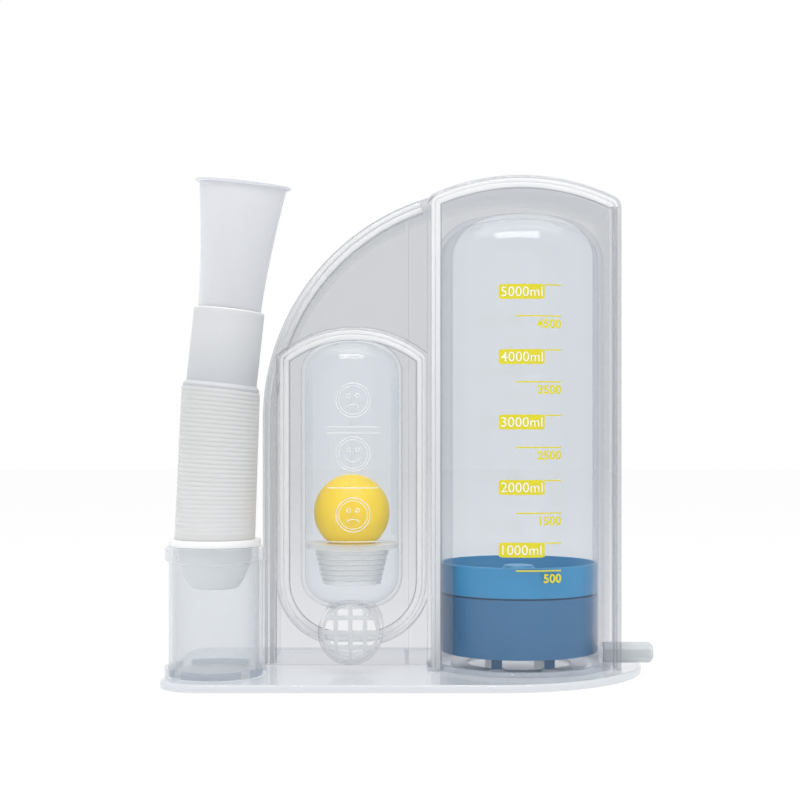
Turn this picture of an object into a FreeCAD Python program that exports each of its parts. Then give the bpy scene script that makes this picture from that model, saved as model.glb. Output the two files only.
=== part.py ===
import FreeCAD, Part
import math
import os
import re
import Sketcher

V = FreeCAD.Vector

# Incentive spirometer, millimetres. X right, Y away from the viewer, Z up.
# The origin is on the underside of the base plate.

DOC = FreeCAD.newDocument("IncentiveSpirometer")

# Driving sizes: alias, value and what it is
SIZE_TABLE = (
    ("base_thick", 3.6, "thickness of the base plate"),
    ("base_left", -114.5, "left edge of the base plate"),
    ("base_arc_x", 44, "centre of the round right end"),
    ("base_arc_y", 10, "centre of the round right end"),
    ("base_arc_r", 75, "radius of the round right end"),
    ("base_rear", 58, "rear edge of the base plate"),
    ("base_corner_r", 20, "left corners in plan"),
    ("base_edge_r", 1.4, "rounding of the top edge"),
    ("wall", 2, "wall of the moulded shells"),
    ("fit_gap", 0.2, "clearance between glued or seated pieces"),
    ("rest_gap", 0.3, "clearance under a piece that rests and lifts"),
    ("seam_y", -4, "plane where front and rear shell meet"),
    ("flange_thick", 1.7, "thickness of each welded flange"),
    ("flange_width", 3, "flange overhang outside the rear tub"),
    ("house_left", -70.1, "left edge of the welded flange"),
    ("house_right", 105.3, "right edge of the welded flange"),
    ("house_depth", 54, "depth of the rear tub behind the seam"),
    ("house_edge_r", 3, "rounding round the back of the tub"),
    ("wing_arc_x", 44.9, "centre of the quarter arc"),
    ("wing_arc_z", 125.3, "centre of the quarter arc"),
    ("dome_x", 56.5, "centre of the roof arc"),
    ("roof_top", 243.8, "top of the roof arc"),
    ("dome_r", 104.9, "radius of the roof arc"),
    ("roof_corner_r", 6, "rounding where the roof meets a side or the wing"),
    ("divider_x", 0.4, "left face of the wall between the two sides"),
    ("main_left", 11.3, "left side of the raised main front"),
    ("main_proud", 20, "how far the main front stands out of the flange"),
    ("flow_proud", 14, "how far the flow front stands out of the flange"),
    ("front_edge_r", 2, "rounding of the raised main front"),
    ("flow_edge_r", 2.4, "rounding of the raised flow front"),
    ("flow_x", -25.7, "axis of the flow tube"),
    ("flow_y", -13, "axis of the flow tube"),
    ("flow_front_x", -24.9, "middle of the raised flow front"),
    ("flow_half", 37.8, "half width of the raised flow front"),
    ("flow_bottom", 15.1, "underside of the raised flow front"),
    ("flow_corner_r", 32, "lower corners of the raised flow front"),
    ("flow_arch_r", 57.5, "radius of its arched top"),
    ("flow_arch_top", 171, "height of its arched top"),
    ("cyl_x", 57.25, "axis of the volume cylinder"),
    ("cyl_y", 0, "axis of the volume cylinder"),
    ("cyl_r", 42.2, "outer radius of the volume cylinder"),
    ("cyl_wall", 2.5, "wall of the volume cylinder"),
    ("cyl_dome", 24.8, "height of the domed end"),
    ("cyl_shoulder_r", 22, "shoulder of the domed top"),
    ("cyl_room", 16, "room between the domed end and the roof"),
    ("foot_ring_width", 3.6, "width of the ring round the cylinder foot"),
    ("foot_ring_tall", 2.4, "height of that ring"),
    ("foot_gap_x", 41.2, "how far right of the axis the ring is left open"),
    ("foot_gap_y", 24, "how far back that opening runs"),
    ("tube_r", 25, "outer radius of the flow tube"),
    ("tube_wall", 2, "wall of the flow tube"),
    ("tube_bottom", 33.4, "underside of the flow tube"),
    ("tube_floor_r", 9, "flat middle of the lower end"),
    ("tube_dome", 17.8, "height of the domed end"),
    ("tube_shoulder_r", 15, "shoulder of the domed top"),
    ("tube_room", 5.2, "room between the domed end and the arched top"),
    ("tube_inlet_r", 7.5, "hole in the lower end"),
    ("ball_r", 18.6, "radius of the float ball"),
    ("ball_z", 80, "centre of the float ball at rest"),
    ("rib_gap", 0.7, "clearance between ball and guide ribs"),
    ("rib_thick", 1.4, "thickness of a guide rib"),
    ("rib_low", 69, "lower end of the guide ribs"),
    ("rib_high", 146, "upper end of the guide ribs"),
    ("rib_count", 4, "number of guide ribs"),
    ("seat_top", 65, "top of the ball seat"),
    ("seat_plate", 2.4, "thickness of the seat plate"),
    ("seat_step", 2.5, "height of one step of the seat funnel"),
    ("seat_steps", 7, "number of steps"),
    ("seat_r_top", 18, "outer radius of the uppermost step"),
    ("seat_taper", 0.6, "how much each step is smaller than the last"),
    ("seat_wall", 1.6, "wall of the seat funnel"),
    ("inlet_z", 23.5, "axis of the air inlet"),
    ("inlet_r", 15.6, "outer radius of the inlet collar"),
    ("inlet_wall", 1.8, "wall of the inlet collar"),
    ("inlet_set", 3.5, "how far the collar stays behind the front of the flow tube"),
    ("grille_thick", 1.6, "thickness of the grille"),
    ("grille_inset", 0.4, "how deep the grille sits in its collar"),
    ("grille_pitch", 7, "spacing of the grille bars"),
    ("grille_hole", 5, "width of a grille opening"),
    ("grille_rim", 1.3, "rim of the grille"),
    ("grille_half", 2, "bars of openings on each side of its middle"),
    ("cup_x", -90.1, "axis of the hose cup"),
    ("cup_y", -32, "axis of the hose cup"),
    ("cup_r", 22.4, "outer radius of the hose cup"),
    ("cup_wall", 1.8, "wall of the hose cup"),
    ("cup_rim_r", 24.1, "outer radius of its rim"),
    ("cup_rim_low", 57.7, "underside of its rim"),
    ("cup_top", 64.8, "top of its rim"),
    ("cup_bevel", 0.7, "bevel of the rim's edges"),
    ("socket_width", 1.7, "width of the socket ring on the base"),
    ("socket_tall", 4, "height of the socket ring"),
    ("socket_slot", 8, "width of a slot in the socket ring"),
    ("port_x", 97.6, "inner end of the air port"),
    ("port_end", 121.7, "outer end of the air port"),
    ("port_y", -14, "axis of the air port"),
    ("port_z", 11.3, "axis of the air port"),
    ("port_flats", 9.6, "width of the air port over its flats"),
    ("port_bore_r", 2.6, "bore of the air port"),
    ("port_ease", 0.5, "room round the bore in the notch at the cylinder's foot"),
    ("port_chamfer", 1.6, "chamfer of its outer end"),
    ("piston_gap", 0.5, "clearance between piston and cylinder"),
    ("piston_low", 10.8, "underside of the piston"),
    ("piston_joint", 39.2, "top of the lower piston piece"),
    ("piston_top", 54.6, "rim of the piston"),
    ("piston_wall", 2.2, "wall of the piston"),
    ("piston_edge", 0.5, "bevel of the piston's edges"),
    ("seal_tall", 0.9, "height of the piston seal"),
    ("seal_back", 1.1, "how far the seal sits in from the skirt"),
    ("dish_floor", 44, "floor of the dished piston top"),
    ("hub_r", 10, "radius of the hub in the dished top"),
    ("hub_top", 53.4, "top of that hub"),
    ("lug_x", 12.7, "how far a piston lug stands beside the axis"),
    ("lug_y", 27, "how far a piston lug stands before or behind the axis"),
    ("lug_wide", 5, "width of a piston lug"),
    ("lug_long", 4, "depth of a piston lug"),
    ("stop_tall", 1.5, "height of a stop pad on the base"),
    ("stop_ring_tall", 0.9, "height of the ring that joins the stop pads"),
    ("stop_ring_in", 26, "inner radius of that ring"),
    ("stop_ring_out", 34, "outer radius of that ring"),
    ("hose_x", -90.6, "foot of the hose"),
    ("hose_low", 68.2, "lower end of the bellows"),
    ("hose_high", 139.6, "upper end of the bellows"),
    ("hose_r_low", 19.2, "outer radius of the lowest fold"),
    ("hose_r_high", 18.8, "outer radius of the highest fold"),
    ("hose_fold", 1.5, "depth of a fold"),
    ("hose_folds", 17, "number of folds"),
    ("hose_wall", 1.2, "wall of the bellows at the bottom of a fold"),
    ("bellows_lean", 2.3, "lean of the bellows in degrees"),
    ("hose_lean", 6.2, "lean of the cuff and mouthpiece in degrees"),
    ("tail_flange_r", 22, "flange of the tail cuff"),
    ("tail_spigot_r", 18, "top of the tail spigot"),
    ("tail_end_r", 10.5, "lower end of the tail spigot"),
    ("tail_end", 44.6, "lower end of the tail spigot"),
    ("tail_wall", 1.8, "wall of the tail cuff"),
    ("tail_nose", 5, "length of the steep cone at its lower end"),
    ("tail_bevel", 0.9, "bevel of its lower edge"),
    ("cuff_long", 38.2, "length of the upper cuff"),
    ("cuff_r", 16.8, "outer radius of the upper cuff"),
    ("cuff_foot_r", 18.2, "shoulder at the foot of the upper cuff"),
    ("cuff_foot", 3, "height of that shoulder"),
    ("cuff_wall", 1.6, "wall of the upper cuff"),
    ("cuff_stop", 0.6, "step inside the cuff that the mouthpiece stands on"),
    ("cuff_bevel", 0.5, "bevel of the cuff's upper edge"),
    ("mouth_r", 15, "outer radius of the mouthpiece tube"),
    ("mouth_wall", 1.4, "wall of the mouthpiece"),
    ("mouth_step", 0.15, "how much slimmer the held end is"),
    ("mouth_overlap", 1, "how far the held end runs into the flare"),
    ("mouth_oval", 0.02, "how far from round the flare starts"),
    ("mouth_insert", 12, "length of tube held in the cuff"),
    ("mouth_long", 62, "visible length of the mouthpiece"),
    ("mouth_wide", 21.2, "half width at the mouth end"),
    ("mouth_deep", 9, "half depth at the mouth end"),
    ("lip_proud", 2, "how far the lip stands out"),
    ("lip_thick", 2.2, "thickness of the lip"),
)

# Sizes that follow from those above
FOLLOWING_SIZES = (
    ("dome_z", "roof_top - dome_r", "centre of the roof arc"),
    ("cyl_top", "roof_top - cyl_room", "top of the cylinder's domed end"),
    ("cyl_side_top", "cyl_top - cyl_dome", "where the cylinder turns into its shoulder"),
    ("tube_top", "flow_arch_top - tube_room", "top of the flow tube's domed end"),
    ("tube_side_top", "tube_top - tube_dome", "where the tube turns into its shoulder"),
    ("tube_bottom_r", "tube_r - tube_floor_r", "rounding of the tube's lower end"),
    ("inlet_front", "flow_y - tube_r + inlet_set", "front edge of the inlet collar"),
    ("hose_top_x", "hose_x + (hose_high - hose_low) * tan(bellows_lean)", "top of the bellows"),
)

SHEET = DOC.addObject("Spreadsheet::Sheet", "Sizes")
SHEET.Label = "Sizes"
ROWS = [(alias, str(number), meaning) for alias, number, meaning in SIZE_TABLE]
ROWS += [(alias, f"={rule}", meaning) for alias, rule, meaning in FOLLOWING_SIZES]
for row_number, (alias, content, meaning) in enumerate(ROWS, start=1):
    SHEET.set(f"A{row_number}", meaning)
    SHEET.set(f"B{row_number}", content)
    SHEET.setAlias(f"B{row_number}", alias)
DOC.recompute()
ALIASES = {alias for alias, _, _ in ROWS}


def bound(text):
    """The expression with the sheet's name before each alias."""

    def name_alias(match):
        word = match.group(0)
        return f"Sizes.{word}" if word in ALIASES else word

    return re.sub(r"[a-z_]+", name_alias, str(text))


def size(text):
    """The number that an expression in sheet aliases has now."""
    return float(SHEET.evalExpression(bound(text)))


# Parts made so far, by node name
NODES = {}

# Left or right, and front or back, for things that stand in four corners
CORNER_SIGNS = ((-1, -1), (1, -1), (1, 1), (-1, 1))


def new_body(label, at=("0", "0", "0"), lean=None):
    """A PartDesign body whose place, and lean about Y in degrees, follow the sheet."""
    body = DOC.addObject("PartDesign::Body", label)
    body.Label = label
    place_by_sheet(body, at, lean)
    NODES[label] = body
    return body


def place_by_sheet(item, at, lean=None):
    if lean is not None:
        item.Placement = FreeCAD.Placement(V(0, 0, 0), FreeCAD.Rotation(V(0, 1, 0), 1))
        item.setExpression("Placement.Rotation.Angle", bound(lean))
    for axis_name, text in zip("xyz", at):
        item.setExpression(f"Placement.Base.{axis_name}", bound(text))


def sketch_in(body, name, role, away="0"):
    """A sketch on one of the body's own origin planes, moved along its normal."""
    sketch = body.newObject("Sketcher::SketchObject", name)
    plane = next(item for item in body.Origin.OriginFeatures if item.Role == role)
    sketch.AttachmentSupport = [(plane, "")]
    sketch.MapMode = "FlatFace"
    sketch.setExpression("AttachmentOffset.Base.z", bound(away))
    return sketch


def bind(sketch, kind, where, text):
    """A distance from the sketch origin, or a radius, that follows the sheet."""
    number = size(text)
    if kind == "Radius":
        row = sketch.addConstraint(Sketcher.Constraint("Radius", where[0], number))
    else:
        row = sketch.addConstraint(
            Sketcher.Constraint(kind, -1, 1, where[0], where[1], number)
        )
    sketch.setExpression(f"Constraints[{row}]", bound(text))


def draw_loop(sketch, corners, arcs=None, upright=(), smooth_lines=()):
    """A closed outline through corners, with arcs where arcs names the side.

    A corner is (x, y, held): texts in sheet aliases, and which of x and y are held.
    arcs maps a side's number to (centre x, centre y, turn, radius or None, held).
    upright names sides held vertical, smooth_lines those tangent to the side before.
    """
    arcs = arcs or {}
    count = len(corners)
    points = [V(size(x), size(y), 0) for x, y, _ in corners]
    ends = []
    for side in range(count):
        first, last = points[side], points[(side + 1) % count]
        if side not in arcs:
            line = sketch.addGeometry(Part.LineSegment(first, last), False)
            ends.append((line, 1, 2))
            continue
        centre_x, centre_y, turn, _, _ = arcs[side]
        centre = V(size(centre_x), size(centre_y), 0)
        circle = Part.Circle(centre, V(0, 0, 1), (first - centre).Length)
        begin = math.atan2(first.y - centre.y, first.x - centre.x)
        finish = math.atan2(last.y - centre.y, last.x - centre.x)
        if turn == "left":
            arc = sketch.addGeometry(Part.ArcOfCircle(circle, begin, finish), False)
            ends.append((arc, 1, 2))
        else:
            arc = sketch.addGeometry(Part.ArcOfCircle(circle, finish, begin), False)
            ends.append((arc, 2, 1))
    for side in range(count):
        item, _, tail = ends[side]
        following = (side + 1) % count
        follower, head, _ = ends[following]
        smooth = following in smooth_lines
        if following in arcs:
            smooth = "tangent" in arcs[following][4]
        join = "Tangent" if smooth else "Coincident"
        sketch.addConstraint(Sketcher.Constraint(join, item, tail, follower, head))
    for side in upright:
        sketch.addConstraint(Sketcher.Constraint("Vertical", ends[side][0]))
    for side, (x, y, held) in enumerate(corners):
        item, head, _ = ends[side]
        if "x" in held:
            bind(sketch, "DistanceX", (item, head), x)
        if "y" in held:
            bind(sketch, "DistanceY", (item, head), y)
    for side, (centre_x, centre_y, _, radius, held) in arcs.items():
        item = ends[side][0]
        if "x" in held:
            bind(sketch, "DistanceX", (item, 3), centre_x)
        if "y" in held:
            bind(sketch, "DistanceY", (item, 3), centre_y)
        if radius is not None:
            bind(sketch, "Radius", (item,), radius)


def polygon(sketch, corners):
    draw_loop(sketch, [(x, y, "xy") for x, y in corners])


def block(sketch, x, y, wide, deep):
    """A rectangle by its middle and its two widths."""
    low_x, high_x = f"{x} - 0.5 * ({wide})", f"{x} + 0.5 * ({wide})"
    low_y, high_y = f"{y} - 0.5 * ({deep})", f"{y} + 0.5 * ({deep})"
    polygon(sketch, ((low_x, low_y), (high_x, low_y), (high_x, high_y), (low_x, high_y)))


def draw_circle(sketch, x, y, radius):
    circle = Part.Circle(V(size(x), size(y), 0), V(0, 0, 1), size(radius))
    item = sketch.addGeometry(circle, False)
    bind(sketch, "DistanceX", (item, 3), x)
    bind(sketch, "DistanceY", (item, 3), y)
    bind(sketch, "Radius", (item,), radius)


def pad(body, sketch, length, backwards=False):
    feature = body.newObject("PartDesign::Pad", f"{sketch.Name}_pad")
    feature.Profile = sketch
    feature.Reversed = backwards
    feature.setExpression("Length", bound(length))
    sketch.Visibility = False
    DOC.recompute()
    return feature


def pocket(body, sketch, length, backwards=False):
    feature = body.newObject("PartDesign::Pocket", f"{sketch.Name}_pocket")
    feature.Profile = sketch
    feature.Reversed = backwards
    feature.setExpression("Length", bound(length))
    before = body.Shape.Volume
    DOC.recompute()
    if body.Shape.Volume >= before:
        raise RuntimeError(f"{sketch.Name} cuts nothing")
    return feature


def revolve(body, sketch):
    feature = body.newObject("PartDesign::Revolution", f"{sketch.Name}_turned")
    feature.Profile = sketch
    feature.ReferenceAxis = (sketch, ["V_Axis"])
    feature.Angle = 360
    DOC.recompute()
    return feature


def groove(body, sketch):
    """A turned cut about the sketch's first construction line."""
    feature = body.newObject("PartDesign::Groove", f"{sketch.Name}_cut")
    feature.Profile = sketch
    feature.ReferenceAxis = (sketch, ["Axis0"])
    feature.Angle = 360
    before = body.Shape.Volume
    DOC.recompute()
    if body.Shape.Volume >= before:
        raise RuntimeError(f"{sketch.Name} cuts nothing")
    return feature


def round_edges(body, name, radius, chosen):
    """A fillet on the edges of the body's tip that the test picks."""
    tip = body.Tip
    names = [
        f"Edge{number}"
        for number, edge in enumerate(tip.Shape.Edges, start=1)
        if chosen(edge)
    ]
    if not names:
        raise RuntimeError(f"{name} finds no edges")
    feature = body.newObject("PartDesign::Fillet", name)
    feature.Base = (tip, names)
    feature.setExpression("Radius", bound(radius))
    DOC.recompute()
    return feature


def around(body, feature, count):
    """Copies of the feature round the body's Z axis."""
    ring = body.newObject("PartDesign::PolarPattern", f"{feature.Name}_ring")
    ring.Originals = [feature]
    axis = next(item for item in body.Origin.OriginFeatures if item.Role == "Z_Axis")
    ring.Axis = (axis, [""])
    ring.Angle = 360
    ring.setExpression("Occurrences", bound(count))
    body.Tip = ring
    DOC.recompute()
    return ring


def near(first, second, slack=0.01):
    return abs(first - second) < slack


def lies_at_x(edge, x):
    box = edge.BoundBox
    return near(box.XMin, x) and near(box.XMax, x)


def lies_at_y(edge, y):
    box = edge.BoundBox
    return near(box.YMin, y) and near(box.YMax, y)


def lies_at_z(edge, z):
    box = edge.BoundBox
    return near(box.ZMin, z) and near(box.ZMax, z)


# Outline of the housing, seen from the front

def meet_circles(first, first_r, second, second_r):
    """Upper crossing of two circles given by centre (x, z) and radius."""
    gap_x, gap_z = second[0] - first[0], second[1] - first[1]
    gap = math.hypot(gap_x, gap_z)
    along = (first_r**2 - second_r**2 + gap**2) / (2 * gap)
    across = math.sqrt(first_r**2 - along**2)
    x = first[0] + (along * gap_x - across * gap_z) / gap
    z = first[1] + (along * gap_z + across * gap_x) / gap
    return x, z


def toward(centre, point, radius):
    """The point at radius from centre, on the ray through point."""
    reach = math.hypot(point[0] - centre[0], point[1] - centre[1])
    x = centre[0] + (point[0] - centre[0]) * radius / reach
    z = centre[1] + (point[1] - centre[1]) * radius / reach
    return x, z


def roof_corner(side_x, way, inset):
    """Centre and end points of the rounding between an upright side and the roof.

    way is 1 at the right side and -1 at the left.
    """
    roof = (size("dome_x"), size("dome_z"))
    roof_r = size("dome_r") - inset
    corner_r = size("roof_corner_r") - inset
    x = side_x - way * corner_r
    z = roof[1] + math.sqrt((roof_r - corner_r) ** 2 - (x - roof[0]) ** 2)
    return (x, z), (side_x, z), toward(roof, (x, z), roof_r)


def house_outline(sketch, inset, low):
    """The wing's quarter arc, the roof arc and the upright sides, all set in."""
    depth = size(inset)
    wing = (size("wing_arc_x"), size("wing_arc_z"))
    roof = (size("dome_x"), size("dome_z"))
    wing_r = wing[0] - size("house_left") - depth
    roof_r = size("dome_r") - depth
    valley_r = size("roof_corner_r") + depth
    valley = meet_circles(wing, wing_r + valley_r, roof, roof_r + valley_r)
    roof_end = toward(roof, valley, roof_r)
    wing_end = toward(wing, valley, wing_r)
    corner, side_end, roof_start = roof_corner(size("house_right") - depth, 1, depth)
    left = f"house_left + {inset}"
    right = f"house_right - ({inset})"
    corners = [
        (left, low, "xy"),
        (right, low, "xy"),
        (right, side_end[1], ""),
        (*roof_start, ""),
        (*roof_end, ""),
        (*wing_end, ""),
        (left, "wing_arc_z", "xy"),
    ]
    corner_r = f"roof_corner_r - ({inset})"
    arcs = {
        2: (*corner, "left", corner_r, "tangent"),
        3: ("dome_x", "dome_z", "left", f"dome_r - ({inset})", "xy tangent"),
        4: (*valley, "right", f"roof_corner_r + {inset}", "tangent"),
        5: ("wing_arc_x", "wing_arc_z", "left", None, "xy tangent"),
    }
    draw_loop(sketch, corners, arcs, upright=(1,))


def main_front_outline(sketch, inset, low):
    """The raised front of the volume side, under the roof arc."""
    depth = size(inset)
    left = f"main_left + {inset}"
    right = f"house_right - ({inset})"
    right_corner, right_end, roof_start = roof_corner(size(right), 1, depth)
    left_corner, left_end, roof_end = roof_corner(size(left), -1, depth)
    corners = [
        (left, low, "xy"),
        (right, low, "xy"),
        (*right_end, ""),
        (*roof_start, ""),
        (*roof_end, ""),
        (*left_end, ""),
    ]
    corner_r = f"roof_corner_r - ({inset})"
    arcs = {
        2: (*right_corner, "left", corner_r, "tangent"),
        3: ("dome_x", "dome_z", "left", f"dome_r - ({inset})", "xy tangent"),
        4: (*left_corner, "left", corner_r, "tangent"),
    }
    draw_loop(sketch, corners, arcs, upright=(1, 5), smooth_lines=(5,))


def flow_front_outline(sketch, inset):
    """The raised front of the flow side: a U below and an arch above."""
    arch_z = "flow_arch_top - flow_arch_r"
    arch_r = size("flow_arch_r") - size(inset)
    half = size("flow_half") - size(inset)
    side_z = size(arch_z) + math.sqrt(arch_r**2 - half**2)
    left = f"flow_front_x - flow_half + {inset}"
    right = f"flow_front_x + flow_half - ({inset})"
    low = f"flow_bottom + {inset}"
    bend = f"flow_corner_r - ({inset})"
    bend_x_left = f"{left} + {bend}"
    bend_x_right = f"{right} - ({bend})"
    bend_z = f"{low} + {bend}"
    corners = [
        (bend_x_left, low, "xy"),
        (bend_x_right, low, "xy"),
        (right, bend_z, "y"),
        (right, side_z, "x"),
        (left, side_z, "x"),
        (left, bend_z, "y"),
    ]
    arcs = {
        1: (bend_x_right, bend_z, "left", None, "xy"),
        3: ("flow_front_x", arch_z, "left", f"flow_arch_r - ({inset})", "xy"),
        5: (bend_x_left, bend_z, "left", None, "xy"),
    }
    draw_loop(sketch, corners, arcs)


# Turned outline with a domed top, for the cylinder and the flow tube

def dome_corners(axis_x, radius, side_top, shoulder, top):
    """Corners and arcs from the foot of the side to the top on the axis."""
    r, rim = size(radius), size(shoulder)
    rise = size(top) - size(side_top)
    offset = r - rim
    crown = (offset**2 + rise**2 - rim**2) / (2 * (rise - rim))
    ratio = crown / (crown - rim)
    meet_x = size(axis_x) + offset * ratio
    meet_z = size(top) - crown + (size(side_top) - size(top) + crown) * ratio
    corners = [
        (f"{axis_x} + {radius}", side_top, "xy"),
        (meet_x, meet_z, ""),
        (axis_x, top, "xy"),
    ]
    shoulder_arc = (f"{axis_x} + {radius} - ({shoulder})", side_top, "left", None, "xy")
    crown_arc = (axis_x, size(top) - crown, "left", None, "x tangent")
    return corners, shoulder_arc, crown_arc


def draw_axis(sketch, axis_x, low, top):
    """The construction line that a groove turns about."""
    foot = V(size(axis_x), size(low), 0)
    head = V(size(axis_x), size(top), 0)
    line = sketch.addGeometry(Part.LineSegment(foot, head), True)
    bind(sketch, "DistanceX", (line, 1), axis_x)
    bind(sketch, "DistanceY", (line, 1), low)
    bind(sketch, "DistanceX", (line, 2), axis_x)
    bind(sketch, "DistanceY", (line, 2), top)


def draw_cylinder_space(sketch):
    """Half section of the volume cylinder and its clearance, with its axis."""
    low, top = "base_thick - wall", "cyl_top + fit_gap"
    radius, shoulder = "cyl_r + fit_gap", "cyl_shoulder_r + fit_gap"
    corners, shoulder_arc, crown_arc = dome_corners(
        "cyl_x", radius, "cyl_side_top", shoulder, top
    )
    loop = [("cyl_x", low, "xy"), (f"cyl_x + {radius}", low, "xy")] + corners
    draw_loop(sketch, loop, {2: shoulder_arc, 3: crown_arc})
    draw_axis(sketch, "cyl_x", low, top)


def draw_tube_space(sketch):
    """Half section of the flow tube and its clearance, with its axis."""
    low, top = "tube_bottom - fit_gap", "tube_top + fit_gap"
    radius, shoulder = "tube_r + fit_gap", "tube_shoulder_r + fit_gap"
    corners, shoulder_arc, crown_arc = dome_corners(
        "flow_x", radius, "tube_side_top", shoulder, top
    )
    bend_x = "flow_x + tube_r - tube_bottom_r"
    bend_z = "tube_bottom + tube_bottom_r"
    loop = [
        ("flow_x", low, "xy"),
        (bend_x, low, "xy"),
        (f"flow_x + {radius}", bend_z, "y"),
    ]
    loop += corners
    bend = (bend_x, bend_z, "left", None, "xy")
    draw_loop(sketch, loop, {1: bend, 3: shoulder_arc, 4: crown_arc})
    draw_axis(sketch, "flow_x", low, top)


# Base plate with the socket ring for the cup and the stop pads under the piston

def make_base():
    body = new_body("base_plate")
    sketch = sketch_in(body, "base_outline", "XY_Plane")
    front = "base_arc_y - base_arc_r"
    end_x = size("base_arc_x") + math.sqrt(
        size("base_arc_r") ** 2 - size("base_rear - base_arc_y") ** 2
    )
    corners = [
        ("base_left", front, "xy"),
        ("base_arc_x", front, "xy"),
        (end_x, "base_rear", "y"),
        ("base_left", "base_rear", "xy"),
    ]
    draw_loop(sketch, corners, {1: ("base_arc_x", "base_arc_y", "left", None, "xy")})
    pad(body, sketch, "base_thick")
    left = size("base_left")
    round_edges(
        body,
        "base_corners",
        "base_corner_r",
        lambda edge: lies_at_x(edge, left)
        and near(edge.BoundBox.ZLength, size("base_thick")),
    )
    round_edges(
        body,
        "base_top_edge",
        "base_edge_r",
        lambda edge: lies_at_z(edge, size("base_thick")),
    )
    ring = sketch_in(body, "socket_ring", "XY_Plane", "base_thick - 0.5 * base_edge_r")
    draw_circle(ring, "cup_x", "cup_y", "cup_r + fit_gap + socket_width")
    draw_circle(ring, "cup_x", "cup_y", "cup_r + fit_gap")
    pad(body, ring, "socket_tall + 0.5 * base_edge_r")
    reach = "0.75 * (cup_r + socket_width)"
    for number, (side, way) in enumerate(CORNER_SIGNS):
        slot = sketch_in(body, f"socket_slot_{number}", "XY_Plane", "base_thick")
        middle_x = f"cup_x + {side} * {reach}"
        middle_y = f"cup_y + {way} * {reach}"
        block(slot, middle_x, middle_y, "socket_slot", "socket_slot")
        pocket(body, slot, "socket_tall", backwards=True)


# Rear shell: the deep tub with the quarter arc, its flange and inner divider

def make_rear_shell():
    body = new_body("rear_shell")
    away = "-seam_y"
    inner = "flange_width + wall"
    tub = sketch_in(body, "tub_outline", "XZ_Plane", away)
    house_outline(tub, "flange_width", "base_thick")
    pad(body, tub, "house_depth", backwards=True)
    hollow = sketch_in(body, "tub_hollow", "XZ_Plane", away)
    house_outline(hollow, inner, "base_thick - wall")
    pocket(body, hollow, "house_depth - wall")
    top = size("wing_arc_z") + math.sqrt(
        size(f"wing_arc_x - house_left - ({inner})") ** 2
        - size("wing_arc_x - divider_x") ** 2
    )
    divider = sketch_in(body, "divider", "XZ_Plane", away)
    polygon(
        divider,
        (
            ("divider_x", "base_thick"),
            ("divider_x + wall", "base_thick"),
            ("divider_x + wall", f"{top} + 0.5 * wall"),
            ("divider_x", f"{top} + 0.5 * wall"),
        ),
    )
    pad(body, divider, "house_depth - 0.5 * wall", backwards=True)
    flange = sketch_in(body, "rear_flange", "XZ_Plane", away)
    house_outline(flange, "0", "base_thick")
    pad(body, flange, "flange_thick", backwards=True)
    flange_open = sketch_in(body, "rear_flange_open", "XZ_Plane", away)
    house_outline(flange_open, inner, "base_thick - wall")
    pocket(body, flange_open, "flange_thick")
    back = size("seam_y + house_depth")
    low = size("base_thick")
    round_edges(
        body,
        "tub_back_edge",
        "house_edge_r",
        lambda edge: lies_at_y(edge, back) and not lies_at_z(edge, low),
    )


# Front shell: welded flange and panel, raised main front, raised flow front

def make_front_shell():
    body = new_body("front_shell")
    seam = "-seam_y"
    face = "-seam_y + flange_thick"
    panel = sketch_in(body, "front_panel", "XZ_Plane", seam)
    house_outline(panel, "0", "base_thick")
    pad(body, panel, "flange_thick")
    main = sketch_in(body, "main_front", "XZ_Plane", face)
    main_front_outline(main, "0", "base_thick")
    pad(body, main, "main_proud")
    flow = sketch_in(body, "flow_front", "XZ_Plane", face)
    flow_front_outline(flow, "0")
    pad(body, flow, "flow_proud")
    flow_y = -size(face) - size("flow_proud")
    flow_left = size("flow_front_x - flow_half")
    flow_right = size("main_left")
    margin = size("0.5 * wall")
    round_edges(
        body,
        "flow_front_edge",
        "flow_edge_r",
        lambda edge: lies_at_y(edge, flow_y)
        and (
            edge.BoundBox.XMin < flow_left + margin
            or (edge.BoundBox.XLength > margin and edge.BoundBox.XMax > flow_right - margin)
        ),
    )
    main_hollow = sketch_in(body, "main_hollow", "XZ_Plane", seam)
    main_front_outline(main_hollow, "wall", "base_thick - wall")
    pocket(body, main_hollow, "flange_thick + main_proud - wall", backwards=True)
    flow_hollow = sketch_in(body, "flow_hollow", "XZ_Plane", seam)
    flow_front_outline(flow_hollow, "wall")
    pocket(body, flow_hollow, "flange_thick + flow_proud - wall", backwards=True)
    cylinder = sketch_in(body, "cylinder_window", "XZ_Plane", "-cyl_y")
    draw_cylinder_space(cylinder)
    groove(body, cylinder)
    tube = sketch_in(body, "tube_window", "XZ_Plane", "-flow_y")
    draw_tube_space(tube)
    groove(body, tube)
    ring = sketch_in(body, "foot_ring_window", "XY_Plane", "base_thick - wall")
    draw_circle(ring, "cyl_x", "cyl_y", "cyl_r + foot_ring_width + 2 * fit_gap")
    pocket(body, ring, "foot_ring_tall + wall + fit_gap", backwards=True)
    inlet = sketch_in(body, "inlet_window", "XZ_Plane", seam)
    draw_circle(inlet, "flow_x", "inlet_z", "inlet_r + fit_gap")
    pocket(body, inlet, "seam_y - inlet_front", backwards=True)
    port = sketch_in(body, "port_window", "YZ_Plane", "house_right - 2 * wall")
    port_section(port, "fit_gap")
    pocket(body, port, "4 * wall", backwards=True)
    front = -size(face) - size("main_proud")
    left_x = size("main_left")
    round_edges(
        body,
        "main_front_edge",
        "front_edge_r",
        lambda edge: lies_at_y(edge, front)
        and (
            edge.BoundBox.XMax > size("house_right") - margin
            or edge.BoundBox.ZMax > size("cyl_top")
            or lies_at_x(edge, left_x)
        ),
    )


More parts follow.
